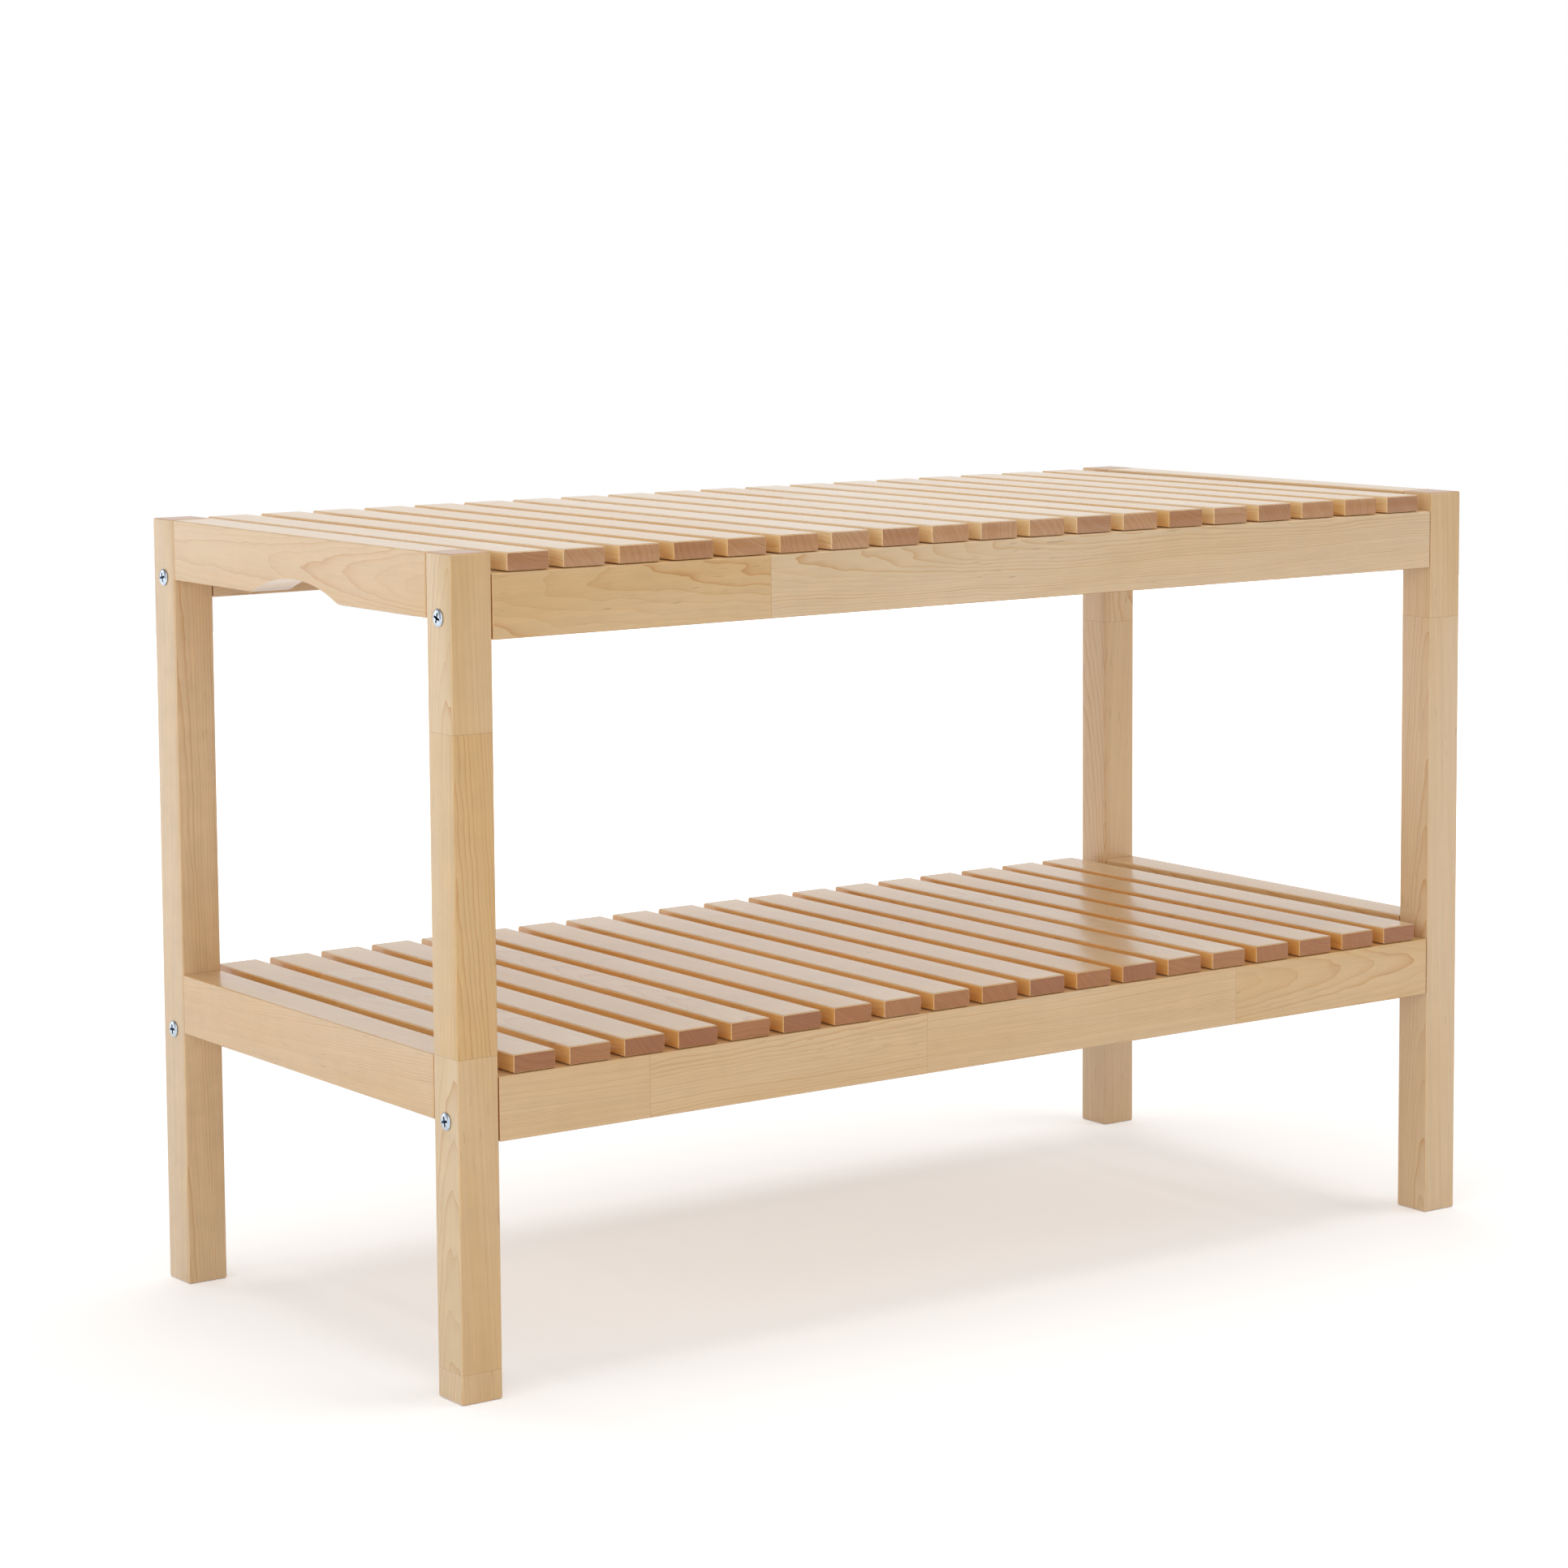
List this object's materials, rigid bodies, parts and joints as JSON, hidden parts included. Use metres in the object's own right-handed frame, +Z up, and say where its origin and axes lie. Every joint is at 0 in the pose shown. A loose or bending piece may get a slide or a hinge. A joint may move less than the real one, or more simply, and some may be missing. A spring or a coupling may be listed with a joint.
{
  "type": "entryway bench",
  "caption": "Free-standing slatted birch bench with a seat deck and a lower shoe shelf between two legged end frames with hand-hold arches",
  "frame": {"origin": "on the floor, under the middle of the bench", "axes": "+X along the length of the bench to its right end, -Y towards its front, +Z up"},
  "size_m": [0.8028, 0.37, 0.497],
  "materials": {
    "deck_birch": "clear satin lacquer on pale birch",
    "frame_birch": "clear satin lacquer on pale birch",
    "zinc_screw": "bright bluish zinc plating"
  },
  "bodies": {
    "root": {"leg_front_left": "frame_birch", "leg_back_left": "frame_birch", "leg_front_right": "frame_birch", "leg_back_right": "frame_birch", "upper_rail_front": "deck_birch", "upper_rail_back": "deck_birch", "upper_end_rail_left": "frame_birch", "upper_end_rail_right": "frame_birch", "upper_slat_01": "deck_birch", "upper_slat_02": "deck_birch", "upper_slat_03": "deck_birch", "upper_slat_04": "deck_birch", "upper_slat_05": "deck_birch", "upper_slat_06": "deck_birch", "upper_slat_07": "deck_birch", "upper_slat_08": "deck_birch", "upper_slat_09": "deck_birch", "upper_slat_10": "deck_birch", "upper_slat_11": "deck_birch", "upper_slat_12": "deck_birch", "upper_slat_13": "deck_birch", "upper_slat_14": "deck_birch", "upper_slat_15": "deck_birch", "upper_slat_16": "deck_birch", "upper_slat_17": "deck_birch", "upper_slat_18": "deck_birch", "upper_slat_19": "deck_birch", "screw_upper_front_left": "zinc_screw", "screw_upper_back_left": "zinc_screw", "screw_upper_front_right": "zinc_screw", "screw_upper_back_right": "zinc_screw", "lower_rail_front": "deck_birch", "lower_rail_back": "deck_birch", "lower_end_rail_left": "frame_birch", "lower_end_rail_right": "frame_birch", "lower_slat_01": "deck_birch", "lower_slat_02": "deck_birch", "lower_slat_03": "deck_birch", "lower_slat_04": "deck_birch", "lower_slat_05": "deck_birch", "lower_slat_06": "deck_birch", "lower_slat_07": "deck_birch", "lower_slat_08": "deck_birch", "lower_slat_09": "deck_birch", "lower_slat_10": "deck_birch", "lower_slat_11": "deck_birch", "lower_slat_12": "deck_birch", "lower_slat_13": "deck_birch", "lower_slat_14": "deck_birch", "lower_slat_15": "deck_birch", "lower_slat_16": "deck_birch", "lower_slat_17": "deck_birch", "lower_slat_18": "deck_birch", "lower_slat_19": "deck_birch", "screw_lower_front_left": "zinc_screw", "screw_lower_back_left": "zinc_screw", "screw_lower_front_right": "zinc_screw", "screw_lower_back_right": "zinc_screw"}
  },
  "joints": []
}
